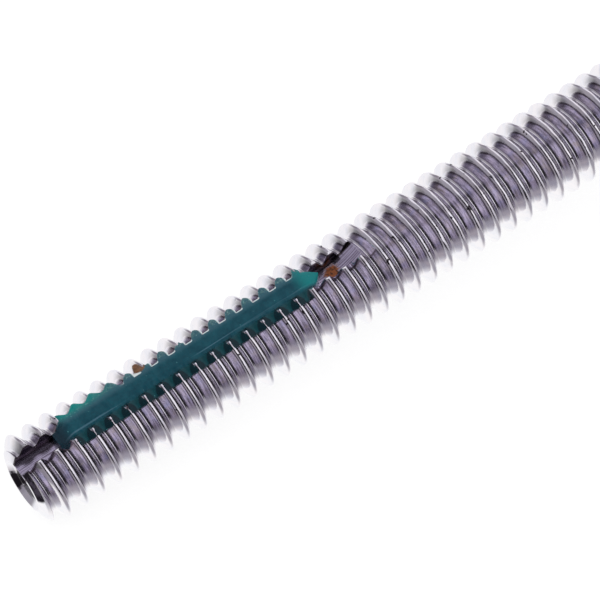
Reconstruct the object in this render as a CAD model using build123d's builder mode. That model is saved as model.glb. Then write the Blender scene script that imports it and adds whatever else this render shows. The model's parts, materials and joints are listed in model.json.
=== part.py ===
from build123d import *
import math
import os

# Lengths are in millimetres. The rod is shaped upright, with its tip at zero, its axis along Z and
# its slot facing +X, and is then laid down on its thread and its collar with the slot facing up.

# Thread
inch = 25.4
threads_per_inch = 24
thread_diameter = 5.2
thread_length = 41.0
thread_end_turns = 0.5
tip_chamfer = 0.5
tip_cone_length = 0.2
tip_cone_inset = 0.55
tip_cup_diameter = 2.9
tip_cup_floor_diameter = 2.4
tip_cup_depth = 0.3

# Shank, collar and square key head
under_head_length = 52.0
shank_diameter = 4.75
neck_fillet = 0.4
collar_diameter = 9.5
collar_rim = 1.3
collar_thickness = 2.0
collar_edge_radius = 0.3
key_width = 6.35
key_height = 6.4
key_corner_radius = 0.5
key_bevel_inset = 0.2
key_bevel_angle = 30

# Slot milled along the thread by a disc cutter
slot_width = 1.1
slot_depth = 1.1
slot_length = 21.42
cutter_radius = 4.0

# Nylon strip pressed into the slot
strip_start = 2.4
strip_end_gap = 0.1
strip_below_crest = 0.05
strip_bevel = 0.16
strip_end_chamfer = 0.25
nose_length = 1.1
nose_drop = 0.6

# Overrun of every cut past the metal
overrun = 0.5

# Values that follow from the driving dimensions
thread_pitch = inch / threads_per_inch
thread_radius = thread_diameter / 2
shank_radius = shank_diameter / 2
collar_radius = collar_diameter / 2
thread_shoulder = thread_length - thread_end_turns * thread_pitch
tip_length = tip_cone_length + tip_chamfer
tip_cone_radius = thread_radius - tip_chamfer
tip_face_radius = tip_cone_radius - tip_cone_inset
collar_top = under_head_length + collar_thickness
key_top = collar_top + key_height
key_bevel_radius = key_width / 2 - key_bevel_inset
key_bevel_fall = (key_width - key_bevel_radius) * math.tan(math.radians(key_bevel_angle))
floor_radius = thread_radius - slot_depth
cutter_run = math.sqrt(cutter_radius**2 - (cutter_radius - slot_depth) ** 2)
floor_end = slot_length - cutter_run
strip_top = thread_radius - strip_below_crest
strip_end = floor_end - strip_end_gap

# The rod, upright
with BuildPart() as upright_rod:
    with BuildSketch(Plane.XZ):
        with BuildLine():
            Polyline(
                (shank_radius, under_head_length - neck_fillet),
                (shank_radius, thread_length),
                (thread_radius, thread_shoulder),
                (thread_radius, tip_length),
                (tip_cone_radius, tip_cone_length),
                (tip_face_radius, 0),
                (tip_cup_diameter / 2, 0),
                (tip_cup_floor_diameter / 2, tip_cup_depth),
                (0, tip_cup_depth),
                (0, collar_top),
                (key_width / 2, collar_top),
                (collar_radius, under_head_length + collar_rim),
                (collar_radius, under_head_length),
                (shank_radius + neck_fillet, under_head_length),
            )
            RadiusArc(
                (shank_radius + neck_fillet, under_head_length),
                (shank_radius, under_head_length - neck_fillet),
                neck_fillet,
            )
        make_face()
    revolve(axis=Axis.Z)
    collar_rims = upright_rod.edges().filter_by(GeomType.CIRCLE).sort_by(SortBy.RADIUS)[-2:]
    fillet(collar_rims, radius=collar_edge_radius)
    # Square key head on the collar, its top corners turned off in a cone
    with BuildSketch(Plane.XY.offset(under_head_length + collar_rim)):
        RectangleRounded(key_width, key_width, key_corner_radius)
    extrude(amount=key_top - under_head_length - collar_rim)
    with BuildSketch(Plane.XZ):
        with BuildLine():
            Polyline(
                (key_bevel_radius, key_top),
                (key_width, key_top - key_bevel_fall),
                (key_width, key_top + overrun),
                (key_bevel_radius, key_top + overrun),
                close=True,
            )
        make_face()
    revolve(axis=Axis.Z, mode=Mode.SUBTRACT)
    # Slot, open at the tip and running out on the cutter's arc
    with BuildSketch(Plane.XZ):
        with Locations((floor_radius, floor_end)):
            Rectangle(cutter_radius, floor_end + overrun, align=(Align.MIN, Align.MAX))
        with Locations((floor_radius + cutter_radius, floor_end)):
            Circle(cutter_radius)
    extrude(amount=slot_width / 2, both=True, mode=Mode.SUBTRACT)

# The strip, upright: a square bar with a bevelled top and a sloping nose at its inner end
with BuildPart() as upright_strip:
    with BuildSketch(Plane.XZ):
        with BuildLine():
            Polyline(
                (floor_radius, strip_start),
                (floor_radius, strip_end),
                (strip_top - nose_drop, strip_end),
                (strip_top, strip_end - nose_length),
                (strip_top, strip_start + strip_end_chamfer),
                (strip_top - strip_end_chamfer, strip_start),
                close=True,
            )
        make_face()
    extrude(amount=slot_width / 2, both=True)
    top_face = upright_strip.faces().filter_by(Plane.YZ).sort_by(Axis.X)[-1]
    chamfer(top_face.edges().filter_by(Axis.Z), length=strip_bevel)

# How the rod lies: the thread's first full turn and the collar's rounded rim touch the surface
lying_run = under_head_length + collar_edge_radius - tip_length
lying_rise = collar_radius - collar_edge_radius - thread_radius
lying_angle = math.atan2(lying_rise, lying_run) + math.asin(
    collar_edge_radius / math.hypot(lying_run, lying_rise)
)
axis_direction = (math.cos(lying_angle), 0, math.sin(lying_angle))
slot_direction = (-math.sin(lying_angle), 0, math.cos(lying_angle))
lying_plane = Plane(origin=(0, 0, 0), x_dir=slot_direction, z_dir=axis_direction)
lying_box = upright_rod.part.moved(lying_plane.location).bounding_box()
rest_origin = (-lying_box.center().X, -lying_box.center().Y, -lying_box.min.Z)
rest_plane = Plane(origin=rest_origin, x_dir=slot_direction, z_dir=axis_direction)

with BuildPart(rest_plane) as rod:
    add(upright_rod.part)

with BuildPart(rest_plane) as locking_strip:
    add(upright_strip.part)

os.makedirs("parts", exist_ok=True)
rod.part.label = "rod"
export_step(rod.part, "parts/rod.step")
locking_strip.part.label = "locking_strip"
export_step(locking_strip.part, "parts/locking_strip.step")
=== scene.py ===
import json
import math

import bmesh
import bpy
import numpy as np
from mathutils import Matrix, Vector


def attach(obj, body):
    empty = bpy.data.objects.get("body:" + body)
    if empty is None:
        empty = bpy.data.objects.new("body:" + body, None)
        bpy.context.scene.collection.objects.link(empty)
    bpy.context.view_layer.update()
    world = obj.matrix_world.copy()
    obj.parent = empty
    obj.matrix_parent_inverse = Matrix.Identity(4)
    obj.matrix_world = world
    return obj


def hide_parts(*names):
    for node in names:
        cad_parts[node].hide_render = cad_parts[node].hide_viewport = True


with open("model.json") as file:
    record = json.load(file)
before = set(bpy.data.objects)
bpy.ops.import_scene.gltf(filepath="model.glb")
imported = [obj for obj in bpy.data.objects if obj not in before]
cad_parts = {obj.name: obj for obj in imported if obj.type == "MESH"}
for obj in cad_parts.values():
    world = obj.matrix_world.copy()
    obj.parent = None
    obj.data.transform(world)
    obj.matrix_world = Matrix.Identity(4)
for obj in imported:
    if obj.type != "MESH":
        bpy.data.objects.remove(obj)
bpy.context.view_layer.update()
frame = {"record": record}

# Lengths are in millimetres in the rod's own frame: tip at zero, axis along Z, slot facing +X.
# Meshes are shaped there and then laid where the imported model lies, in metres.
MM = 0.001
SEED = 24

# Thread, with rounded crests and roots
INCH = 25.4
TURNS_PER_INCH = 24
PITCH = INCH / TURNS_PER_INCH
CREST_RADIUS = 2.6
THREAD_DEPTH = 0.63
ROOT_RADIUS = CREST_RADIUS - THREAD_DEPTH
CREST_ROUND = 0.14
ROOT_ROUND = 0.1465
FLANK_ANGLE = math.radians(60)
ARC_PARTS = 3
FLANK_PARTS = 3
CREST_AT_SLOT = 0.918
THREAD_LENGTH = 41.0
THREAD_SHOULDER = THREAD_LENGTH - PITCH / 2
STEPS_PER_TURN = 96
SPARE_TURNS = 3

# Dents and sideways sway of the crests, which are stronger past the slot
WORN_FROM = 20.0
WORN_FADE = 3.0
DENT_MEAN = 0.006
DENT = 0.004
DENT_WORN = 0.010
DENT_STEPS = 3
DENT_SLOW = 0.002
DENT_SLOW_STEPS = 40
SWAY = 0.007
SWAY_WORN = 0.010
SWAY_STEPS = 4

# Tip: a cupped face, a blunt cone and a chamfer
TIP_CHAMFER = 0.5
TIP_CONE_LENGTH = 0.2
TIP_CONE_INSET = 0.55
TIP_CONE_ROUND = 0.2
TIP_FACE_ROUND = 0.04
TIP_CUP_RADIUS = 1.45
TIP_CUP_FLOOR = 1.2
TIP_CUP_DEPTH = 0.3
TIP_CUP_ROUND = 0.15

# How the thread is trimmed at both ends and joined to the shank's core
TRIM_OVERRUN = 0.06
TRIM_SINK = 0.1
TRIM_SEGMENTS = 192
RUN_OUT_START = 38.8
CORE_OVERLAP = 2.0
CORE_SINK = 0.3

# Shank, collar and key head
SHANK_RADIUS = 2.375
SHANK_EDGE = 0.12
UNDER_HEAD = 52.0
NECK_FILLET = 0.4
FILLET_STEPS = 6
COLLAR_RADIUS = 4.75
COLLAR_RIM = 1.3
COLLAR_TOP = 54.0
COLLAR_EDGE = 0.3
KEY_HALF = 3.175
KEY_TOP = 60.4
KEY_CORNER = 0.5
KEY_CORNER_STEPS = 8
KEY_EDGE = 0.12
KEY_BEVEL_RADIUS = 2.975
KEY_BEVEL_SLOPE = math.tan(math.radians(30))
HEAD_SEGMENTS = 160

# Slot, milled by a disc cutter from before the tip, and its flared mouth
SLOT_HALF = 0.55
SLOT_TAPER = 0.11
SLOT_DEPTH = 1.1
SLOT_FLOOR = 1.5
SLOT_LENGTH = 21.42
CUTTER_RADIUS = 4.0
CUTTER_STEPS = 16
FLOOR_END = SLOT_LENGTH - math.sqrt(CUTTER_RADIUS ** 2 - (CUTTER_RADIUS - SLOT_DEPTH) ** 2)
CUT_START = -1.0
CUT_HEIGHT = 1.4
FLARE_FROM = 2.40
FLARE_HALF = 0.86
FLARE_FULL = CREST_RADIUS + 0.02
FLARE_TOP = CREST_RADIUS + 0.2
FLARE_SINK = 0.05
FLARE_END = SLOT_LENGTH - 0.55

# Strip: a bar in the slot with a low start, a worn lower edge and a pointed nose
STRIP_START = 2.4
STRIP_END_GAP = 0.1
STRIP_END = FLOOR_END - STRIP_END_GAP
STRIP_TOP = 2.55
STRIP_SINK = 0.01
STRIP_STATIONS = 400
START_LENGTH = 0.9
START_DROP = 0.5
NOSE_SLOPE = 1.1
NOSE_DROP = 0.16
NOSE_LENGTH = 0.8
NOSE_END = STRIP_END + 0.18
NOSE_TIP_SHARE = 0.06
NOSE_POWER = 1.7
TOP_WAVE = 0.008
TOP_WAVE_STEPS = 16
RIDGE_ACROSS = 0.24
RIDGE_SWAY = 0.012
RIDGE_SWAY_STEPS = 12
EDGE_DROP = 0.16
EDGE_DROP_SHARE = 0.3
UPPER_WALL_OUT = 1.8
LOWER_WALL_OUT = 1.65

# Nylon squeezed over the crests' ends on the slot's upper side
CAP_RADIUS = 2.63
CAP_GAIN = 8
SPREAD_LEAST = 0.015
SPREAD_START_GAP = 0.25
SPREAD_END_GAP = 0.6
SPREAD_FADE = 0.3
BUMP_ANGLE = -18.0
BUMP_FROM = 0.26
BUMP_POWER = 0.65
BUMP_REACH = 0.52
BUMP_UNEVEN = 0.08
BUMPS_END = 24
EARLY_END = 6.9
EARLY_FADE = 1.2
EARLY_REACH = 0.14
EARLY_VALLEY = 0.45
FIN_PLACES = (8.25, 10.44)
FIN_REACH = 0.36
FIN_HALF = 0.1
FIN_NOTCH = 0.6
FIN_NOTCH_HALF = 0.35
CHIP_ALONG = 7.88
CHIP_REACH = 0.68
CHIP_HALF = 0.27
FLAP_SHIFT = 0.1

# Nylon squeezed over the thread on the lower side, at these angles from the slot's middle
LOW_ANGLES = (12.6, 15.2, 18.5, 22.0, 25.4, 27.0)
LOW_VALLEY = 2.47
LOW_RISE = 0.118
LOW_TOP = 2.588
LOW_UNEVEN = 0.008
LOW_UNEVEN_STEPS = 10
LOW_SINK = 0.08
LOW_END_GAP = 0.4
LOW_END_FADE = 0.7
LOW_END_POWER = 1.5
BARE_SINK = 0.04
BARE_SLOPE = 0.71
BARE_FROM = 0.86
BARE_FADE = 0.08

# Meshes: points closer than this are merged, and edges sharper than these angles stay crisp
MERGE_DISTANCE = 1e-5
ROD_CREASE = math.radians(38)
STRIP_CREASE = math.radians(40)

# The painted dark reflection on the thread's flanks: middle, half width and soft edge round the rod, in
# degrees
FLANK_SHADE_MIDDLE = 12.0
FLANK_SHADE_REACH = 62.0
FLANK_SHADE_SOFT = 10

# Rust in the run-out: along the rod and out from its axis
RUST_ALONG = 19.6
RUST_OUT = 1.72

# The pale floor, in metres: its reach from the middle and how far it lies under the rod
FLOOR_REACH = 2.0
FLOOR_DROP = 0.00002

# Where the rod lies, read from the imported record's mount on the key head
key_mount = [m for m in frame["record"]["mounts"] if m["name"] == "key_drive"][0]
AXIS = Vector(key_mount["axis"]).normalized()
UP_SLOT = Vector((-AXIS.z, 0.0, AXIS.x))
ACROSS = AXIS.cross(UP_SLOT)
TIP = Vector(key_mount["pos_m"]) - AXIS * KEY_TOP * MM
LYING = Matrix((UP_SLOT, ACROSS, AXIS)).transposed().to_4x4()
PLACE = Matrix.Translation(TIP) @ LYING @ Matrix.Scale(MM, 4)

# The photograph's view of the rod: turn of the slot, height over the axis, lean in the picture
SLOT_TURN = math.radians(28.0)
VIEW_RISE = math.radians(15.855)
VIEW_LEAN = math.radians(32.41)
FACING = UP_SLOT * math.cos(SLOT_TURN) + ACROSS * math.sin(SLOT_TURN)
UPWARD = UP_SLOT * math.sin(SLOT_TURN) - ACROSS * math.cos(SLOT_TURN)

# The camera, from a point of the axis just before the tip
SEEN_BEFORE_TIP = 0.083
CAMERA_RIGHT = 14.2523
CAMERA_UP = 9.5422
CAMERA_BACK = 174.9209
CAMERA_LENS = 205.5
CAMERA_SENSOR = 36.0
CAMERA_CLIP = 0.01


# Small helpers for meshes

def new_object(name, data):
    piece = bpy.data.objects.new(name, data)
    bpy.context.scene.collection.objects.link(piece)
    return piece


def mesh_object(name, points, faces):
    mesh = bpy.data.meshes.new(name)
    mesh.from_pydata([tuple(p) for p in points], [], [tuple(f) for f in faces])
    mesh.update()
    return new_object(name, mesh)


def face_outward(piece):
    work = bmesh.new()
    work.from_mesh(piece.data)
    bmesh.ops.recalc_face_normals(work, faces=work.faces)
    if work.calc_volume(signed=True) < 0:
        bmesh.ops.reverse_faces(work, faces=work.faces)
    work.to_mesh(piece.data)
    work.free()
    return piece


def drop_loose(piece):
    """Deletes points that no face uses."""
    work = bmesh.new()
    work.from_mesh(piece.data)
    bmesh.ops.delete(work, geom=[v for v in work.verts if not v.link_faces], context="VERTS")
    work.to_mesh(piece.data)
    work.free()


def combine(piece, other, operation):
    """Joins, cuts or intersects two closed meshes; the other one is used up."""
    step = piece.modifiers.new("combine", "BOOLEAN")
    step.operation = operation
    step.solver = "MANIFOLD"
    step.object = other
    graph = bpy.context.evaluated_depsgraph_get()
    result = bpy.data.meshes.new_from_object(piece.evaluated_get(graph))
    piece.modifiers.remove(step)
    old = piece.data
    piece.data = result
    bpy.data.meshes.remove(old)
    bpy.data.objects.remove(other)
    return piece


def rounded(outline, radii, steps=4):
    """The outline of (radius, height) corners with each inner corner turned into an arc of its radius."""
    points = []
    for i, corner in enumerate(outline):
        r = radii[i]
        if r == 0:
            points.append(corner)
            continue
        here = Vector(corner)
        back = (Vector(outline[i - 1]) - here).normalized()
        ahead = (Vector(outline[(i + 1) % len(outline)]) - here).normalized()
        half = back.angle(ahead) / 2
        reach = r / math.tan(half)
        centre = here + (back + ahead).normalized() * (r / math.sin(half))
        first = here + back * reach - centre
        turn = (here + ahead * reach - centre).angle_signed(first)
        for k in range(steps + 1):
            a = turn * k / steps
            c, s = math.cos(a), math.sin(a)
            points.append((centre.x + first.x * c - first.y * s, centre.y + first.x * s + first.y * c))
    return points


def turned(name, outline, segments):
    """A closed solid of revolution from (radius, height) points whose first and last lie on the axis."""
    points = [(0, 0, outline[0][1])]
    turns = [2 * math.pi * k / segments for k in range(segments)]
    ring = [(math.cos(a), math.sin(a)) for a in turns]
    for r, z in outline[1:-1]:
        points.extend((r * c, r * s, z) for c, s in ring)
    points.append((0, 0, outline[-1][1]))
    rows = len(outline) - 2
    faces = []
    for k in range(segments):
        n = (k + 1) % segments
        faces.append((0, 1 + n, 1 + k))
        for j in range(rows - 1):
            a = 1 + j * segments
            b = a + segments
            faces.append((a + k, a + n, b + n, b + k))
        a = 1 + (rows - 1) * segments
        faces.append((a + k, a + n, len(points) - 1))
    return face_outward(mesh_object(name, points, faces))


def prism(name, outline, place):
    """A closed prism: outline points are (a, b), and place(a, b, end) gives the point at end 0 or 1."""
    n = len(outline)
    points = [place(a, b, 0) for a, b in outline] + [place(a, b, 1) for a, b in outline]
    faces = [tuple(range(n)), tuple(range(n, 2 * n))]
    for k in range(n):
        m = (k + 1) % n
        faces.append((k, m, n + m, n + k))
    return face_outward(mesh_object(name, points, faces))


def loft(name, rows):
    """A closed mesh from rows of points that run along a piece, side by side round it."""
    count = len(rows)
    points = np.stack([np.stack(row, axis=1) for row in rows], axis=1).reshape(-1, 3)
    last = len(points) - count
    faces = [tuple(range(count)), tuple(range(last, last + count))]
    for a in range(0, last, count):
        b = a + count
        for j in range(count):
            m = (j + 1) % count
            faces.append((a + j, a + m, b + m, b + j))
    return face_outward(mesh_object(name, points, faces))


def smooth(piece, angle):
    """Smooth shading, with edges sharper than the angle kept crisp."""
    work = bmesh.new()
    work.from_mesh(piece.data)
    bmesh.ops.dissolve_degenerate(work, edges=work.edges, dist=MERGE_DISTANCE)
    bmesh.ops.triangulate(work, faces=[f for f in work.faces if len(f.verts) > 4])
    for f in work.faces:
        f.smooth = True
    for e in work.edges:
        e.smooth = len(e.link_faces) == 2 and e.calc_face_angle(0) < angle
    work.to_mesh(piece.data)
    work.free()


def lay(piece):
    """Moves a mesh from the rod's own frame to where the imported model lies."""
    piece.data.transform(PLACE)
    piece.data.update()


def smooth_noise(rng, count, width):
    """Seeded noise along a line, averaged over a few steps, about -1 to 1."""
    raw = rng.uniform(-1, 1, count + 2 * width)
    return np.convolve(raw, np.ones(width) / width, "same")[width:-width] * math.sqrt(width)


# The rod

def thread_profile():
    """(height, radius) over one turn, from crest to crest."""
    points = []
    for k in range(ARC_PARTS + 1):
        a = FLANK_ANGLE * k / ARC_PARTS
        points.append((CREST_ROUND * math.sin(a), CREST_RADIUS - CREST_ROUND * (1 - math.cos(a))))
    rim = points[-1]
    root = []
    for k in range(2 * ARC_PARTS + 1):
        a = FLANK_ANGLE * (k / ARC_PARTS - 1)
        root.append((PITCH / 2 + ROOT_ROUND * math.sin(a), ROOT_RADIUS + ROOT_ROUND * (1 - math.cos(a))))
    for k in range(1, FLANK_PARTS):
        f = k / FLANK_PARTS
        points.append((rim[0] + (root[0][0] - rim[0]) * f, rim[1] + (root[0][1] - rim[1]) * f))
    mirrored = [(PITCH - h, r) for h, r in points[1:]]
    points.extend(root)
    points.extend(reversed(mirrored))
    return points


def thread_solid():
    """The whole thread as one closed helical mesh that runs past both ends of the threaded length."""
    rng = np.random.default_rng(SEED)
    profile = np.array(thread_profile())
    count = len(profile)
    turns = int(THREAD_LENGTH / PITCH) + 2 * SPARE_TURNS
    steps = turns * STEPS_PER_TURN
    height_noise = smooth_noise(rng, steps + 1, DENT_STEPS)
    side_noise = smooth_noise(rng, steps + 1, SWAY_STEPS)
    slow_noise = smooth_noise(rng, steps + 1, DENT_SLOW_STEPS)
    crest_share = np.clip((profile[:, 1] - ROOT_RADIUS) / THREAD_DEPTH, 0, 1) ** 3
    step = np.arange(steps + 1)
    turn = 2 * math.pi * step / STEPS_PER_TURN
    rise = CREST_AT_SLOT + PITCH * (step / STEPS_PER_TURN - SPARE_TURNS)
    worn = np.clip((rise - WORN_FROM) / WORN_FADE, 0, 1)
    dents = -DENT_MEAN + (DENT + DENT_WORN * worn) * height_noise + DENT_SLOW * slow_noise
    sway = (SWAY + SWAY_WORN * worn) * side_noise
    r = profile[None, :, 1] + crest_share[None, :] * np.minimum(dents, 0)[:, None]
    z = rise[:, None] + profile[None, :, 0] + crest_share[None, :] * sway[:, None]
    x = r * np.cos(turn)[:, None]
    y = r * np.sin(turn)[:, None]
    points = list(np.stack([x, y, z], axis=2).reshape(-1, 3))
    rows = steps - STEPS_PER_TURN

    def at(i, j):
        """Number of a point; past the end of the profile it is the first point one turn on."""
        return (i + STEPS_PER_TURN) * count if j == count else i * count + j

    def end_loop(row):
        """The open rim at an end: once round along the helix and back down the profile."""
        return [at(row + i, 0) for i in range(STEPS_PER_TURN)] + [at(row, j) for j in range(count, 0, -1)]

    faces = []
    for i in range(rows):
        for j in range(count):
            faces.append((at(i, j), at(i + 1, j), at(i + 1, j + 1), at(i, j + 1)))
    for loop in (end_loop(0), end_loop(rows)):
        heights = [points[p][2] for p in loop]
        points.append(np.array([0, 0, (min(heights) + max(heights)) / 2]))
        centre = len(points) - 1
        for k in range(len(loop)):
            faces.append((loop[k], loop[(k + 1) % len(loop)], centre))
    thread = mesh_object("thread", points, faces)
    drop_loose(thread)
    return face_outward(thread)


def thread_envelope():
    """What is left of the thread at its ends: cupped tip, cone and chamfer, turned-down last half turn."""
    out = CREST_RADIUS + TRIM_OVERRUN
    cone = CREST_RADIUS - TIP_CHAMFER
    fall = PITCH / 2 / (CREST_RADIUS - SHANK_RADIUS)
    end = THREAD_LENGTH + TRIM_SINK * fall
    outline = [
        (0, TIP_CUP_DEPTH),
        (TIP_CUP_FLOOR, TIP_CUP_DEPTH),
        (TIP_CUP_RADIUS, 0),
        (cone - TIP_CONE_INSET, 0),
        (cone, TIP_CONE_LENGTH),
        (out, TIP_CONE_LENGTH + TIP_CHAMFER + TRIM_OVERRUN),
        (out, THREAD_SHOULDER - TRIM_OVERRUN * fall),
        (SHANK_RADIUS - TRIM_SINK, end),
        (0, end),
    ]
    radii = [0, TIP_CUP_ROUND, TIP_FACE_ROUND, TIP_FACE_ROUND, TIP_CONE_ROUND, 0, 0, 0, 0]
    return turned("envelope", rounded(outline, radii), TRIM_SEGMENTS)


def shank_and_collar():
    """The core under the thread's end, the shank, its filleted neck and the collar."""
    arc = []
    for k in range(FILLET_STEPS + 1):
        a = math.pi / 2 * k / FILLET_STEPS
        r = SHANK_RADIUS + NECK_FILLET * (1 - math.cos(a))
        arc.append((r, UNDER_HEAD - NECK_FILLET * (1 - math.sin(a))))
    start = RUN_OUT_START - CORE_OVERLAP
    outline = [
        (0, start),
        (ROOT_RADIUS - CORE_SINK, start),
        (ROOT_RADIUS, RUN_OUT_START),
        (SHANK_RADIUS, THREAD_LENGTH),
        (SHANK_RADIUS, THREAD_LENGTH + SHANK_EDGE),
    ]
    outline += arc
    outline += [
        (COLLAR_RADIUS, UNDER_HEAD),
        (COLLAR_RADIUS, UNDER_HEAD + COLLAR_RIM),
        (KEY_HALF, COLLAR_TOP),
        (0, COLLAR_TOP),
    ]
    radii = [0] * len(outline)
    radii[-4] = COLLAR_EDGE
    radii[-3] = COLLAR_EDGE
    return turned("shank", rounded(outline, radii, FILLET_STEPS), HEAD_SEGMENTS)


def key_head():
    """The square head with rounded corners, its top turned off in a cone."""
    outline = []
    inner = KEY_HALF - KEY_CORNER
    for corner, (side_x, side_y) in enumerate(((1, 1), (-1, 1), (-1, -1), (1, -1))):
        for k in range(KEY_CORNER_STEPS + 1):
            a = math.pi / 2 * (corner + k / KEY_CORNER_STEPS)
            x = inner * side_x + KEY_CORNER * math.cos(a)
            outline.append((x, inner * side_y + KEY_CORNER * math.sin(a)))
    ends = (UNDER_HEAD + COLLAR_RIM, KEY_TOP)
    key = prism("key", outline, lambda a, b, end: (a, b, ends[end]))
    wide = KEY_HALF * 2
    fall = (wide - KEY_BEVEL_RADIUS) * KEY_BEVEL_SLOPE
    bevel = [
        (0, KEY_TOP),
        (KEY_BEVEL_RADIUS, KEY_TOP),
        (wide, KEY_TOP - fall),
        (wide, UNDER_HEAD),
        (0, UNDER_HEAD),
    ]
    cone = turned("bevel", rounded(bevel, [0, KEY_EDGE, 0, 0, 0]), HEAD_SEGMENTS)
    return combine(key, cone, "INTERSECT")


def slot_half(out):
    """Half the slot's width at a height over the axis: the walls close a little toward the floor."""
    return SLOT_HALF - SLOT_TAPER * (CREST_RADIUS - out)


def slot_cutter():
    """The disc cutter's path along the thread: a straight floor that runs out on an arc."""
    outline = [(SLOT_FLOOR, CUT_START), (SLOT_FLOOR, FLOOR_END)]
    reach = math.sqrt(CUTTER_RADIUS ** 2 - (CUTTER_RADIUS - CUT_HEIGHT) ** 2)
    last = math.asin(reach / CUTTER_RADIUS)
    for k in range(1, CUTTER_STEPS + 1):
        a = last * k / CUTTER_STEPS
        out = SLOT_FLOOR + CUTTER_RADIUS * (1 - math.cos(a))
        outline.append((out, FLOOR_END + CUTTER_RADIUS * math.sin(a)))
    outline.append((SLOT_FLOOR + CUT_HEIGHT, CUT_START))
    return prism("slot", outline, lambda a, b, end: (a, slot_half(a) * (2 * end - 1), b))


def slot_mouth():
    """The flared mouth of the slot, where the ends of the crests are dressed back."""
    slope = (FLARE_HALF - SLOT_HALF) / (FLARE_FULL - FLARE_FROM)
    wide = SLOT_HALF + slope * (FLARE_TOP - FLARE_FROM)
    narrow = SLOT_HALF - slope * FLARE_SINK
    low = FLARE_FROM - FLARE_SINK
    outline = [(low, -narrow), (FLARE_TOP, -wide), (FLARE_TOP, wide), (low, narrow)]
    ends = (CUT_START, FLARE_END)
    return prism("mouth", outline, lambda a, b, end: (a, b, ends[end]))


def make_rod():
    rod = combine(thread_solid(), thread_envelope(), "INTERSECT")
    head = combine(shank_and_collar(), key_head(), "UNION")
    rod = combine(rod, head, "UNION")
    rod = combine(rod, slot_cutter(), "DIFFERENCE")
    rod = combine(rod, slot_mouth(), "DIFFERENCE")
    rod.name = "tension_rod"
    rod.data.name = "tension_rod"
    smooth(rod, ROD_CREASE)
    return rod


# The nylon strip

def near_crest(along, angle):
    """1 where the thread's crest passes a point of this height and angle, 0 in the middle of its valley."""
    turn = (along - CREST_AT_SLOT) / PITCH - angle / 360
    return 0.5 + 0.5 * np.cos(2 * math.pi * turn)


def cap_height(across):
    """Height over the axis of the nylon smeared over the crests, at a distance from the slot's middle."""
    return np.sqrt(CAP_RADIUS ** 2 - across ** 2)


def thread_radius(along, angle):
    """Radius of the thread's surface at a height and an angle."""
    profile = thread_profile() + [(PITCH, CREST_RADIUS)]
    turn = ((along - CREST_AT_SLOT) / PITCH - angle / 360) % 1.0
    return np.interp(turn * PITCH, [p[0] for p in profile], [p[1] for p in profile])


def upper_reach(z, rng):
    """How far the nylon spreads past the slot's upper edge: a bump over the end of each crest."""
    crest = near_crest(z, BUMP_ANGLE)
    bump = np.clip((crest - BUMP_FROM) / (1 - BUMP_FROM), 0, 1) ** BUMP_POWER
    early = np.clip((EARLY_END - z) / EARLY_FADE, 0, 1)
    shape = bump * (1 - early) + (EARLY_VALLEY + (1 - EARLY_VALLEY) * crest) * early
    turns = np.arange(0, BUMPS_END, PITCH)
    uneven = np.interp(z, turns, rng.uniform(-1, 1, len(turns)))
    reach = (BUMP_REACH + EARLY_REACH * early + BUMP_UNEVEN * uneven) * shape
    for place in FIN_PLACES:
        reach *= 1 - FIN_NOTCH * np.exp(-((z - place) / FIN_NOTCH_HALF) ** 2)
        reach = np.maximum(reach, FIN_REACH * np.exp(-((z - place) / FIN_HALF) ** 2))
    return np.maximum(reach, CHIP_REACH * np.exp(-((z - CHIP_ALONG) / CHIP_HALF) ** 4))


def lower_side(z, angle, rng):
    """Nylon squeezed over the thread below the slot: out and across, with only the crests bare."""
    uneven = smooth_noise(rng, len(z), LOW_UNEVEN_STEPS) * LOW_UNEVEN
    level = np.minimum(LOW_VALLEY + LOW_RISE * near_crest(z, angle) + uneven, LOW_TOP)
    if angle == LOW_ANGLES[-1]:
        level = thread_radius(z, angle) - LOW_SINK
    turn = math.radians(angle)
    out = level * math.cos(turn)
    across = level * math.sin(turn)
    bare = FLARE_FROM - BARE_SINK + (across - SLOT_HALF) * BARE_SLOPE
    at_crest = np.clip((near_crest(z, angle) - BARE_FROM) / BARE_FADE, 0, 1)
    return out + (np.minimum(out, bare) - out) * at_crest, across


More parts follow.
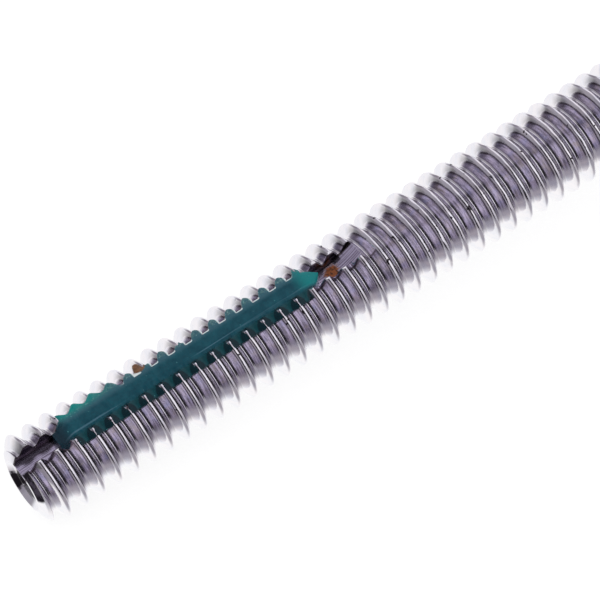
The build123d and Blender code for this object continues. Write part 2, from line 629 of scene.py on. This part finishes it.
def make_strip():
    """The pressed-in bar with its low start and pointed nose, and the nylon squeezed out on both sides."""
    rng = np.random.default_rng(SEED + 1)
    z = np.linspace(STRIP_START, NOSE_END, STRIP_STATIONS)
    wave = np.minimum(smooth_noise(rng, STRIP_STATIONS, TOP_WAVE_STEPS) * TOP_WAVE, 0)
    ridge = RIDGE_ACROSS + smooth_noise(rng, STRIP_STATIONS, RIDGE_SWAY_STEPS) * RIDGE_SWAY
    rise = np.clip((z - STRIP_START) / START_LENGTH, 0, 1)
    rise = rise * rise * (3 - 2 * rise)
    slope = np.clip((z - (STRIP_END - NOSE_SLOPE)) / NOSE_SLOPE, 0, 1)
    top = STRIP_TOP - START_DROP * (1 - rise) + wave - NOSE_DROP * slope ** 2
    point = np.clip((z - (NOSE_END - NOSE_LENGTH)) / NOSE_LENGTH, 0, 1)
    taper = NOSE_TIP_SHARE + (1 - NOSE_TIP_SHARE) * (1 - point ** NOSE_POWER)
    drop = np.minimum(EDGE_DROP, (top - SLOT_FLOOR) * EDGE_DROP_SHARE)
    high = SLOT_HALF * taper
    begun = np.clip((z - STRIP_START - SPREAD_START_GAP) / SPREAD_FADE, 0, 1)
    ended = np.clip((STRIP_END - SPREAD_END_GAP - z) / SPREAD_FADE, 0, 1)
    spread = SPREAD_LEAST + upper_reach(z, rng) * begun * ended
    edge = high + spread
    capped = np.clip(spread * CAP_GAIN, 0, 1) * begun

    def level(out):
        return np.full(STRIP_STATIONS, out)

    def over(across, plain):
        """Height of the upper side: on the smeared cap where there is one, else plain."""
        return plain + (np.maximum(cap_height(across), plain) - plain) * capped

    # Out, across and along, from the floor's upper corner round over the top to its lower corner
    foot = slot_half(SLOT_FLOOR) * taper
    sole = level(SLOT_FLOOR - STRIP_SINK)
    shift = FLAP_SHIFT * capped
    rows = [
        (sole, -foot, z),
        (level(UPPER_WALL_OUT), -(slot_half(UPPER_WALL_OUT) * taper), z),
        (over(edge, top - drop * 1.2) - 0.3 * capped, -edge, z + shift),
        (over(edge, top - drop) - 0.06 * capped, -edge, z + shift),
        (over(edge, top - drop * 0.7) - 0.01 * capped, -(high + spread * 0.8), z + shift * 0.8),
        (over(high, top - drop * 0.35), -(high - 0.04 * taper), z),
        (top - 0.006, -(high - 0.14 * taper), z),
        (top, -0.2 * taper, z),
        (top, 0.05 * taper, z),
        (top - 0.004, (ridge - 0.05) * taper, z),
        (top - 0.016, ridge * taper, z),
        (top - 0.045, (ridge + 0.08) * taper, z),
        (top - drop * 0.85, high - 0.06 * taper, z),
    ]
    full = rise * np.clip((STRIP_END - LOW_END_GAP - z) / LOW_END_FADE, 0, 1) ** LOW_END_POWER
    for k, angle in enumerate(LOW_ANGLES):
        out, across = lower_side(z, angle, rng)
        plain = top - drop * (1.1 + 0.3 * k)
        rows.append((plain + (out - plain) * full, high + (across - high) * full, z))
    rows.append((level(LOWER_WALL_OUT), slot_half(LOWER_WALL_OUT) * taper, z))
    rows.append((sole, foot, z))
    strip = loft("nylon_strip", rows)
    smooth(strip, STRIP_CREASE)
    return strip


# Helpers for node materials

class Nodes:
    """Adds nodes to a tree; a number or tuple is set on the socket and a socket is linked to it."""

    def __init__(self, tree):
        self.tree = tree
        tree.nodes.clear()

    def feed(self, socket, value):
        if isinstance(value, bpy.types.NodeSocket):
            self.tree.links.new(value, socket)
        else:
            socket.default_value = value

    def add(self, kind, inputs=None, **settings):
        node = self.tree.nodes.new(kind)
        for key, value in settings.items():
            setattr(node, key, value)
        for key, value in (inputs or {}).items():
            self.feed(node.inputs[key], value)
        return node

    def math(self, operation, a, b=0.0):
        return self.add("ShaderNodeMath", {0: a, 1: b}, operation=operation).outputs[0]

    def product(self, first, *others):
        """Several masks multiplied."""
        for other in others:
            first = self.math("MULTIPLY", first, other)
        return first

    def vector(self, operation, a, b=(0.0, 0.0, 0.0)):
        node = self.add("ShaderNodeVectorMath", {0: a, 1: b}, operation=operation)
        scalar = operation in ("DOT_PRODUCT", "LENGTH", "DISTANCE")
        return node.outputs["Value"] if scalar else node.outputs[0]

    def point(self, x, y, z=0.0):
        return self.add("ShaderNodeCombineXYZ", {"X": x, "Y": y, "Z": z}).outputs[0]

    def band(self, value, low, high, start=0.0, end=1.0):
        """A soft step: start at low, end at high."""
        inputs = {"Value": value, "From Min": low, "From Max": high, "To Min": start, "To Max": end}
        node = self.add("ShaderNodeMapRange", inputs, interpolation_type="SMOOTHSTEP")
        return node.outputs["Result"]

    def mix(self, factor, a, b):
        """Colour a, painted over with colour b by the factor."""
        node = self.add("ShaderNodeMix", {"Factor": factor}, data_type="RGBA")
        for name, value in (("A", a), ("B", b)):
            self.feed([s for s in node.inputs if s.name == name and s.type == "RGBA"][0], value)
        return [s for s in node.outputs if s.type == "RGBA"][0]

    def noise(self, vector, scale, detail=2.0, rough=0.5):
        inputs = {"Vector": vector, "Scale": scale, "Detail": detail, "Roughness": rough}
        return self.add("ShaderNodeTexNoise", inputs).outputs["Fac"]

    def own(self):
        """Position in the rod's own frame, in millimetres."""
        inverse = PLACE.inverted()
        inputs = {
            "Vector": self.add("ShaderNodeTexCoord").outputs["Object"],
            "Location": inverse.to_translation(),
            "Rotation": inverse.to_euler(),
            "Scale": inverse.to_scale(),
        }
        return self.add("ShaderNodeMapping", inputs, vector_type="POINT").outputs["Vector"]


class Place:
    """Where a point of a surface lies in the rod's own frame: all of it, and each part."""

    def __init__(self, n):
        self.own = n.own()
        parts = n.add("ShaderNodeSeparateXYZ", {0: self.own}).outputs
        self.out = parts["X"]
        self.across = parts["Y"]
        self.along = parts["Z"]


class RoundPlace(Place):
    """The same, with the distance from the axis and the angles round it from the slot and from the middle
    of the painted flank shade.
    """

    def __init__(self, n):
        super().__init__(n)
        self.radius = n.vector("LENGTH", n.vector("MULTIPLY", self.own, (1.0, 1.0, 0.0)))
        self.angle = n.math("DEGREES", n.math("ARCTAN2", self.across, self.out))
        self.from_flank_shade = n.math("ABSOLUTE", n.math("SUBTRACT", self.angle, FLANK_SHADE_MIDDLE))


def new_material(name):
    material = bpy.data.materials.new(name)
    material.use_nodes = True
    return material, Nodes(material.node_tree)


def rgb(r, g, b):
    return (r, g, b, 1.0)


def spot_place(along, angle, radius):
    a = math.radians(angle)
    return (radius * math.cos(a), radius * math.sin(a), along)


# Chrome: colours of the plate, of what lies on it, and of painted shade and reflection

WHITE = rgb(1.0, 1.0, 1.0)
PLATE_WARM = rgb(0.95, 0.92, 0.94)
PLATE_COOL = rgb(0.88, 0.88, 0.93)
# Painted dark reflection on the thread's flanks, with fine lines, tints and a darker edge
FLANK_SHADE_DARK = rgb(0.17, 0.153, 0.195)
FLANK_SHADE_PALE = rgb(0.52, 0.47, 0.60)
FLANK_SHADE_BROWN = rgb(0.38, 0.33, 0.29)
FLANK_SHADE_BLUE = rgb(0.28, 0.29, 0.46)
FLANK_SHADE_EDGE = rgb(0.06, 0.05, 0.065)
NICK = rgb(0.07, 0.06, 0.07)
SLOT_TINT = rgb(0.74, 0.69, 0.88)
SLOT_DIRT = rgb(0.28, 0.23, 0.32)
# Painted shade on the slot's upper wall, broken by pale score streaks
WALL_SHADE_DARK = rgb(0.03, 0.024, 0.03)
WALL_SHADE_PALE = rgb(0.19, 0.155, 0.165)
RIM_DARK = rgb(0.16, 0.13, 0.16)
# Painted black reflection on the tip's cone
TIP_SHADE_DARK = rgb(0.012, 0.010, 0.014)
TIP_SHADE_PALE = rgb(0.055, 0.046, 0.065)
# Painted shade in the tip's cup
CUP_SHADE = rgb(0.03, 0.025, 0.03)
RUST_DARK = rgb(0.045, 0.014, 0.006)
RUST_LIGHT = rgb(0.30, 0.080, 0.018)


def flank_shade_layer(n, at, mottle, colour, rough):
    """Painted dark reflection with fine lines on the flanks that face the head, round the slot, which are
    also made a little duller.
    """
    normal = n.add("ShaderNodeNewGeometry").outputs["Normal"]
    toward_head = n.vector("DOT_PRODUCT", normal, tuple(AXIS))
    # Painted dark reflection on the flanks that face the head, on the side round the slot
    flank_shade = n.product(
        n.band(toward_head, 0.08, 0.25),
        n.band(at.along, THREAD_LENGTH, THREAD_LENGTH - 0.4),
        n.band(at.radius, 2.56, 2.50),
        n.band(at.from_flank_shade, FLANK_SHADE_REACH + FLANK_SHADE_SOFT, FLANK_SHADE_REACH - FLANK_SHADE_SOFT),
    )
    rings = n.point(
        n.math("MULTIPLY", at.radius, 26.0),
        n.math("MULTIPLY", at.angle, 0.03),
        n.math("MULTIPLY", at.along, 0.5),
    )
    lines = n.noise(rings, 1.0, 2.0, 0.5)
    paint = n.mix(n.band(lines, 0.42, 0.57), FLANK_SHADE_DARK, FLANK_SHADE_PALE)
    paint = n.mix(n.band(mottle, 0.52, 0.66, 0.0, 0.45), paint, FLANK_SHADE_BROWN)
    paint = n.mix(n.band(mottle, 0.46, 0.34, 0.0, 0.45), paint, FLANK_SHADE_BLUE)
    paint = n.mix(n.band(at.radius, 2.31, 2.42), paint, FLANK_SHADE_EDGE)
    rough = n.math("ADD", rough, n.math("MULTIPLY", flank_shade, 0.10))
    return n.mix(flank_shade, colour, paint), rough


def nick_layer(n, at, colour):
    """Small nicks in the crests."""
    nick = n.product(
        n.band(n.noise(at.own, 2.6, 1.0), 0.71, 0.74),
        n.band(at.radius, 2.44, 2.54),
        n.band(at.from_flank_shade, 50, 40),
        n.band(at.along, THREAD_LENGTH, THREAD_LENGTH - 0.5),
    )
    return n.mix(nick, colour, NICK)


def slot_layer(n, at, colour, rough):
    """Lengthwise scores and dirt on the slot's walls and floor, and painted shade on its upper wall."""
    aside = n.math("ABSOLUTE", at.across)
    past_floor = n.math("MAXIMUM", n.math("SUBTRACT", at.along, FLOOR_END), 0.0)
    climb = n.math("MULTIPLY", n.math("POWER", past_floor, 2.2), 0.118)
    over_floor = n.math("SUBTRACT", at.out, n.math("ADD", climb, SLOT_FLOOR))
    in_slot = n.product(
        n.band(aside, SLOT_HALF + 0.03, SLOT_HALF),
        n.band(at.out, 0.5, 1.0),
        n.band(at.along, SLOT_LENGTH, SLOT_LENGTH - 0.2),
        n.band(over_floor, -0.12, -0.06),
    )
    scored = n.point(
        n.math("MULTIPLY", over_floor, 8.0),
        n.math("MULTIPLY", at.across, 14.0),
        n.math("MULTIPLY", at.along, 0.25),
    )
    streak = n.noise(scored, 1.0, 4.0, 0.65)
    colour = n.mix(in_slot, colour, SLOT_TINT)
    colour = n.mix(n.product(in_slot, n.band(streak, 0.45, 0.62)), colour, SLOT_DIRT)
    # Painted shade on the upper wall, broken by pale score streaks
    wall = n.product(in_slot, n.band(at.across, -0.38, -0.44))
    wall_shade_colour = n.mix(n.band(streak, 0.42, 0.60), WALL_SHADE_DARK, WALL_SHADE_PALE)
    colour = n.mix(wall, colour, wall_shade_colour)
    rough = n.math("ADD", rough, n.math("MULTIPLY", in_slot, 0.14))
    return colour, rough, n.product(streak, in_slot)


def rim_layer(n, at, colour, rough):
    """Darker, duller valleys along the slot's lower rim, between the crests."""
    rim = n.product(
        n.band(at.across, SLOT_HALF - 0.02, SLOT_HALF),
        n.band(at.across, SLOT_HALF + 0.15, SLOT_HALF + 0.08),
        n.band(at.radius, 2.52, 2.44),
        n.band(at.out, 1.2, 1.4),
        n.band(at.along, SLOT_LENGTH + 0.2, SLOT_LENGTH),
    )
    rough = n.math("ADD", rough, n.math("MULTIPLY", rim, 0.3))
    return n.mix(rim, colour, RIM_DARK), rough


def tip_layer(n, at, colour):
    """Painted shade in the tip's cup, and a painted black reflection on its cone below the slot."""
    from_cup = n.vector("DISTANCE", at.own, spot_place(0.15, 228.0, 1.4))
    from_cup = n.math("ADD", from_cup, n.math("MULTIPLY", n.noise(at.own, 4.0, 3.0), 0.7))
    # Painted shade on the cup's wall and floor
    cup = n.product(
        n.band(from_cup, 1.0, 0.7),
        n.band(at.radius, 1.5, 1.44),
        n.band(at.along, 0.5, 0.4),
    )
    colour = n.mix(cup, colour, CUP_SHADE)
    # Painted black reflection on the cone below the slot, made non-metal so that it renders black
    tip_shade = n.product(
        n.band(n.vector("DISTANCE", at.own, spot_place(0.1, 40.0, 1.85)), 1.05, 0.85),
        n.band(at.along, 0.27, 0.22),
        n.band(at.along, 0.01, 0.03),
    )
    patchy = n.noise(n.vector("MULTIPLY", at.own, (2.5, 2.5, 9.0)), 1.0, 4.0, 0.6)
    tip_shade_colour = n.mix(n.band(patchy, 0.45, 0.60), TIP_SHADE_DARK, TIP_SHADE_PALE)
    return n.mix(tip_shade, colour, tip_shade_colour), tip_shade


def rust_layer(n, at, colour, rough):
    """One spot of rust in the slot's run-out."""
    edge = n.vector("DISTANCE", at.own, spot_place(RUST_ALONG, 0.0, RUST_OUT))
    edge = n.math("ADD", edge, n.math("MULTIPLY", n.noise(at.own, 5.0, 4.0), 0.5))
    rust = n.product(n.band(edge, 0.80, 0.55), n.band(at.across, -0.44, -0.38))
    grain_and_glints = n.band(n.noise(at.own, 9.0, 4.0), 0.30, 0.58)
    colour = n.mix(rust, colour, n.mix(grain_and_glints, RUST_DARK, RUST_LIGHT))
    rough = n.math("MAXIMUM", rough, n.math("MULTIPLY", rust, 0.7))
    return colour, rough, rust


def chrome():
    """Bright mottled plate with painted dark reflection on the thread's flanks, a dirty slot with painted
    shade on its upper wall, painted shade in the tip's cup, a painted black reflection on the tip's cone
    and a spot of rust.
    """
    material, n = new_material("worn_chrome")
    at = RoundPlace(n)
    mottle = n.noise(at.own, 1.7, 4.0, 0.6)
    fine = n.noise(n.vector("MULTIPLY", at.own, (5.0, 5.0, 60.0)), 1.0, 3.0, 0.55)
    colour = n.mix(n.band(mottle, 0.35, 0.65), PLATE_WARM, PLATE_COOL)
    rough = n.band(mottle, 0.3, 0.75, 0.04, 0.10)
    colour, rough = flank_shade_layer(n, at, mottle, colour, rough)
    colour = nick_layer(n, at, colour)
    colour, rough, scores = slot_layer(n, at, colour, rough)
    colour, rough = rim_layer(n, at, colour, rough)
    colour, tip_shade = tip_layer(n, at, colour)
    colour, rough, rust = rust_layer(n, at, colour, rough)
    # Not metal under the rust and under the painted black reflection on the tip's cone, which is also less
    # glossy
    metal = n.math("SUBTRACT", 1.0, n.math("MAXIMUM", rust, tip_shade))
    gloss = n.math("MULTIPLY", n.math("SUBTRACT", 1.0, tip_shade), 0.5)
    edges = n.add("ShaderNodeBevel", {"Radius": 0.00004}, samples=4)
    bump = n.add("ShaderNodeBump", {
        "Strength": 0.12,
        "Distance": 0.00002,
        "Height": n.math("ADD", fine, scores),
        "Normal": edges.outputs["Normal"],
    })
    shader = n.add("ShaderNodeBsdfPrincipled", {
        "Base Color": colour,
        "Metallic": metal,
        "Roughness": rough,
        "Specular IOR Level": gloss,
        "Normal": bump.outputs["Normal"],
    })
    n.add("ShaderNodeOutputMaterial", {"Surface": shader.outputs[0]})
    return material


# Nylon: colours of the strip, of its marks, and of painted light and shade

NYLON_DEEP = rgb(0.002, 0.046, 0.070)
NYLON_TEAL = rgb(0.006, 0.070, 0.098)
# Painted light on the upper side and painted shade on the lower side
NYLON_UPPER_LIGHT = rgb(0.030, 0.098, 0.132)
NYLON_LOWER_SHADE = rgb(0.004, 0.046, 0.058)
# Painted shade under the crests
NYLON_UNDER_SHADE = rgb(0.003, 0.018, 0.026)
# Painted highlight along the ridge
NYLON_RIDGE_HIGHLIGHT = rgb(0.05, 0.13, 0.18)
# Painted light in the nose
NYLON_NOSE_LIGHT = rgb(0.002, 0.17, 0.18)
# Painted sheen on the bulges and painted glints on the upper bumps
NYLON_BULGE_SHEEN = rgb(0.065, 0.15, 0.165)
NYLON_BUMP_GLINT = rgb(0.15, 0.29, 0.30)
NYLON_EARLY = rgb(0.001, 0.20, 0.19)
NYLON_START = rgb(0.008, 0.026, 0.042)
NYLON_SPECK = rgb(0.10, 0.32, 0.34)
NYLON_SCUFF = rgb(0.62, 0.68, 0.70)
CHIP_DARK = rgb(0.03, 0.012, 0.006)
CHIP_LIGHT = rgb(0.26, 0.13, 0.07)


def nylon_body(n, at):
    """Deep teal, with painted shade below and under the crests, painted light on the squeezed-out upper
    side and in the nose, and painted highlights on the ridge and the bulges.
    """
    cloud = n.noise(at.own, 1.6, 4.0, 0.6)
    colour = n.mix(n.band(cloud, 0.3, 0.7), NYLON_DEEP, NYLON_TEAL)
    # Painted light on the upper side and painted shade on the lower side
    colour = n.mix(n.band(at.across, -0.20, -0.52), colour, NYLON_UPPER_LIGHT)
    colour = n.mix(n.band(at.across, 0.42, 0.6), colour, NYLON_LOWER_SHADE)

    # Painted shade on the lower side, in an arch under each crest and along its end
    turn = n.math("DIVIDE", n.math("SUBTRACT", at.along, CREST_AT_SLOT + 0.05 * PITCH), PITCH)
    from_crest = n.math("SUBTRACT", n.math("FRACT", n.math("ADD", turn, 0.5)), 0.5)
    arch = n.point(
        n.math("MULTIPLY", from_crest, PITCH / 0.45),
        n.math("DIVIDE", n.math("SUBTRACT", at.across, 1.0), 0.52),
    )
    under = n.band(n.vector("LENGTH", arch), 1.05, 0.85)
    under = n.math("MAXIMUM", under, n.band(at.across, 0.96, 1.08))
    colour = n.mix(under, colour, NYLON_UNDER_SHADE)

    # A painted highlight along the ridge, broken up by noise
    ridge_break = n.noise(n.vector("MULTIPLY", at.own, (1.0, 9.0, 0.25)), 1.0, 3.0)
    from_ridge = n.math("ABSOLUTE", n.math("SUBTRACT", at.across, 0.33))
    ridge = n.product(n.band(from_ridge, 0.06, 0.02), n.band(ridge_break, 0.42, 0.6))
    colour = n.mix(ridge, colour, NYLON_RIDGE_HIGHLIGHT)
    # Painted light in the nose
    nose = n.product(n.band(at.along, STRIP_END - 1.5, STRIP_END - 0.5), n.band(at.across, 0.5, 0.3))
    colour = n.mix(nose, colour, NYLON_NOSE_LIGHT)
    # Painted sheen on the squeezed-out bulges
    ragged = n.noise(at.own, 6.0, 3.0)
    bulge = n.product(n.band(at.across, -0.58, -0.72), n.band(ragged, 0.35, 0.65))
    colour = n.mix(bulge, colour, NYLON_BULGE_SHEEN)
    # Painted glints on the upper bumps
    grain_and_glints = n.product(n.band(at.across, -0.54, -0.64), n.band(n.noise(at.own, 11.0, 2.0), 0.58, 0.68))
    colour = n.mix(grain_and_glints, colour, NYLON_BUMP_GLINT)
    early = n.product(n.band(at.across, -0.35, -1.0), n.band(at.along, 7.0, 4.5))
    return n.mix(early, colour, NYLON_EARLY)


def nylon_marks(n, at, colour):
    """A dark start at the tip, specks, a pale scuffed upper edge between the crests and one brown chip."""
    colour = n.mix(n.band(at.along, STRIP_START + 1.0, STRIP_START + 0.2), colour, NYLON_START)
    speck = n.band(n.noise(at.own, 7.0, 2.0), 0.73, 0.78)
    colour = n.mix(speck, colour, NYLON_SPECK)
    turn = n.math("DIVIDE", n.math("SUBTRACT", at.along, CREST_AT_SLOT - 0.05 * PITCH), PITCH)
    from_valley = n.math("ABSOLUTE", n.math("SUBTRACT", n.math("FRACT", turn), 0.5))
    scuff = n.product(
        n.band(at.across, -0.46, -0.49),
        n.band(from_valley, 0.24, 0.18),
        n.band(at.along, 6.6, 7.4),
        n.band(at.along, STRIP_END - 1.0, STRIP_END - 1.4),
    )
    colour = n.mix(scuff, colour, NYLON_SCUFF)
    from_chip = n.vector("DISTANCE", at.own, spot_place(CHIP_ALONG + FLAP_SHIFT, -22.0, 2.5))
    chip_colour = n.mix(n.noise(at.own, 6.0, 4.0), CHIP_DARK, CHIP_LIGHT)
    return n.mix(n.band(from_chip, 0.50, 0.40), colour, chip_colour)


def nylon():
    """Semi-gloss teal nylon that lets a little light in."""
    material, n = new_material("teal_nylon")
    at = Place(n)
    colour = nylon_marks(n, at, nylon_body(n, at))
    bump = n.add("ShaderNodeBump", {
        "Strength": 0.25,
        "Distance": 0.00004,
        "Height": n.noise(at.own, 5.0, 4.0),
    })
    shader = n.add("ShaderNodeBsdfPrincipled", {
        "Base Color": colour,
        "Roughness": 0.25,
        "Specular IOR Level": 0.22,
        "Subsurface Weight": 0.15,
        "Subsurface Radius": (0.2, 1.0, 1.0),
        "Subsurface Scale": 0.0002,
        "Normal": bump.outputs["Normal"],
    })
    n.add("ShaderNodeOutputMaterial", {"Surface": shader.outputs[0]})
    return material


# Stage

def make_floor():
    """A white floor, hidden from the chrome, which sees the studio's own floor instead."""
    r = FLOOR_REACH
    floor = mesh_object("floor", [(-r, -r, 0), (r, -r, 0), (r, r, 0), (-r, r, 0)], [(0, 1, 2, 3)])
    floor.location.z = -FLOOR_DROP
    floor.visible_glossy = False
    material, n = new_material("white_floor")
    own_light = n.add("ShaderNodeEmission", {"Color": WHITE, "Strength": 0.8})
    white = n.add("ShaderNodeBsdfDiffuse", {"Color": rgb(0.3, 0.3, 0.3)})
    both = n.add("ShaderNodeAddShader", {0: own_light.outputs[0], 1: white.outputs[0]})
    n.add("ShaderNodeOutputMaterial", {"Surface": both.outputs[0]})
    floor.data.materials.append(material)


def studio_colour(n):
    """The studio as the chrome sees it, by latitude along the rod and azimuth round it, in degrees."""
    look = n.add("ShaderNodeTexCoord").outputs["Generated"]
    along = n.vector("DOT_PRODUCT", look, tuple(AXIS))
    facing = n.vector("DOT_PRODUCT", look, tuple(FACING))
    upward = n.vector("DOT_PRODUCT", look, tuple(UPWARD))
    lat = n.math("DEGREES", n.math("ARCSINE", along))
    azi = n.math("DEGREES", n.math("ARCTAN2", upward, facing))

    def patch(lat_low, lat_high, azi_low, azi_high, soft):
        """A soft-edged patch of the studio."""
        return n.product(
            n.band(lat, lat_low - soft, lat_low + soft),
            n.band(lat, lat_high + soft, lat_high - soft),
            n.band(azi, azi_low - soft, azi_low + soft),
            n.band(azi, azi_high + soft, azi_high - soft),
        )

    # Grey all round, lighter toward the head
    colour = n.mix(n.band(lat, 50, 68, 0.0, 0.6), rgb(0.37, 0.35, 0.39), WHITE)

    # Overhead and above the front, dark toward the tip and pale toward the head
    pale = rgb(0.82, 0.79, 0.86)
    high = n.mix(n.band(lat, 6, 22), rgb(0.33, 0.31, 0.35), pale)
    colour = n.mix(n.band(azi, 50, 66), colour, high)
    above = n.mix(n.band(lat, 6, 20), rgb(0.27, 0.25, 0.29), pale)
    colour = n.mix(patch(-91, 91, 24, 56, 8), colour, above)

    # The front: a black card, bright toward the head and grey far toward the tip
    light = n.mix(n.band(azi, 0, 26), rgb(0.96, 0.94, 1.0), rgb(0.50, 0.475, 0.55))
    light = n.mix(n.band(azi, -38, -60), light, rgb(0.60, 0.57, 0.64))
    front = n.mix(n.band(lat, 10, 16), rgb(0.020, 0.018, 0.022), light)
    front = n.mix(n.band(lat, -34, -46), front, rgb(0.29, 0.265, 0.31))
    colour = n.mix(patch(-91, 91, -76, 25, 10), colour, front)

    # A dark strip overhead, the back wall and the floor
    colour = n.mix(patch(-25, 30, 97, 113, 4), colour, rgb(0.24, 0.22, 0.25))
    back = n.mix(n.band(lat, -54, -24), rgb(0.12, 0.115, 0.125), rgb(0.95, 0.945, 0.96))
    colour = n.mix(n.band(azi, 114, 132), colour, back)
    floor = n.mix(n.band(lat, -58, -70), WHITE, rgb(0.25, 0.23, 0.27))
    return n.mix(n.band(azi, -102, -153), colour, floor)


def make_world():
    """Plain white light; only reflections see the painted studio."""
    world = bpy.data.worlds.new("studio")
    world.use_nodes = True
    bpy.context.scene.world = world
    n = Nodes(world.node_tree)
    path = n.add("ShaderNodeLightPath")
    glossy = n.math("MAXIMUM", path.outputs["Is Glossy Ray"], path.outputs["Is Transmission Ray"])
    reflected = n.add("ShaderNodeBackground", {"Color": studio_colour(n), "Strength": 1.0})
    plain = n.add("ShaderNodeBackground", {"Color": WHITE, "Strength": 1.0})
    mixed = n.add("ShaderNodeMixShader", {0: glossy, 1: plain.outputs[0], 2: reflected.outputs[0]})
    n.add("ShaderNodeOutputWorld", {"Surface": mixed.outputs[0]})


def make_camera():
    """The photograph's camera, placed by where it sees a point of the axis near the tip."""
    rise, lean = VIEW_RISE, VIEW_LEAN
    forward = AXIS * math.sin(rise) - FACING * math.cos(rise)
    right = (AXIS * (math.cos(rise) * math.cos(lean)) - UPWARD * math.sin(lean)
             + FACING * (math.sin(rise) * math.cos(lean)))
    down = forward.cross(right)
    seen = TIP - AXIS * SEEN_BEFORE_TIP * MM
    spot = seen + (right * CAMERA_RIGHT - down * CAMERA_UP - forward * CAMERA_BACK) * MM
    turn = Matrix((right, -down, -forward)).transposed()
    data = bpy.data.cameras.new("camera")
    data.lens = CAMERA_LENS
    data.sensor_width = CAMERA_SENSOR
    data.clip_start = CAMERA_CLIP
    camera = new_object("camera", data)
    camera.matrix_world = Matrix.Translation(spot) @ turn.to_4x4()
    bpy.context.scene.camera = camera


def finish_piece(piece, material, node):
    lay(piece)
    piece.data.materials.clear()
    piece.data.materials.append(material)
    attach(piece, "root")
    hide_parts(node)


bpy.context.scene.view_settings.view_transform = "Standard"
finish_piece(make_rod(), chrome(), "rod")
finish_piece(make_strip(), nylon(), "locking_strip")
make_floor()
make_world()
make_camera()

bpy.context.view_layer.update()
